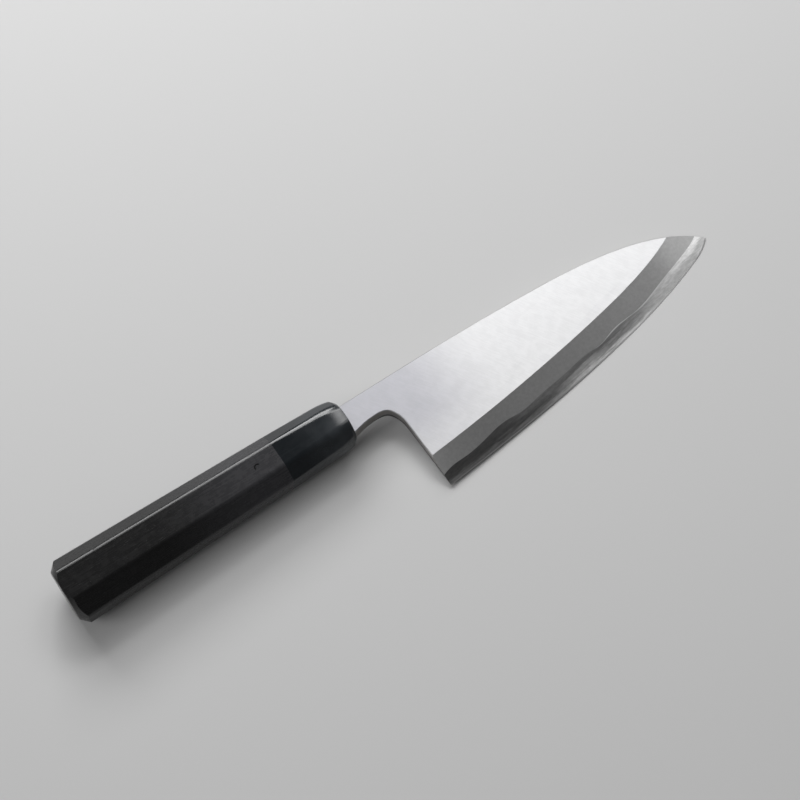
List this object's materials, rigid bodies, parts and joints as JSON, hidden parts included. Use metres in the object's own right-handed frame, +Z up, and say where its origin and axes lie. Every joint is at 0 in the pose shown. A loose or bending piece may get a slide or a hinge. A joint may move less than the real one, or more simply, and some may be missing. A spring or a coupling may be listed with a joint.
{
  "type": "deba knife",
  "caption": "Single-bevel deba kitchen knife: thick laminated blade with a wavy weld line, hollow ground back, and an octagonal ebony handle with a horn ferrule.",
  "frame": {"origin": "on the table, under the middle of the knife lying on its back", "axes": "+X from the handle toward the tip, +Y toward the spine, +Z up out of the bevelled face; the knife leans as it lies, on a corner of the ferrule and on the cutting edge"},
  "size_m": [0.2948, 0.0578, 0.0236],
  "materials": {
    "soft_iron": "satin",
    "hard_steel": "satin",
    "horn": "gloss",
    "ebony": "satin",
    "dowel_wood": "matte"
  },
  "bodies": {
    "root": {"blade_cladding": "soft_iron", "blade_edge_steel": "hard_steel", "ferrule": "horn", "handle_body": "ebony", "core_dowel": "dowel_wood"}
  },
  "joints": []
}
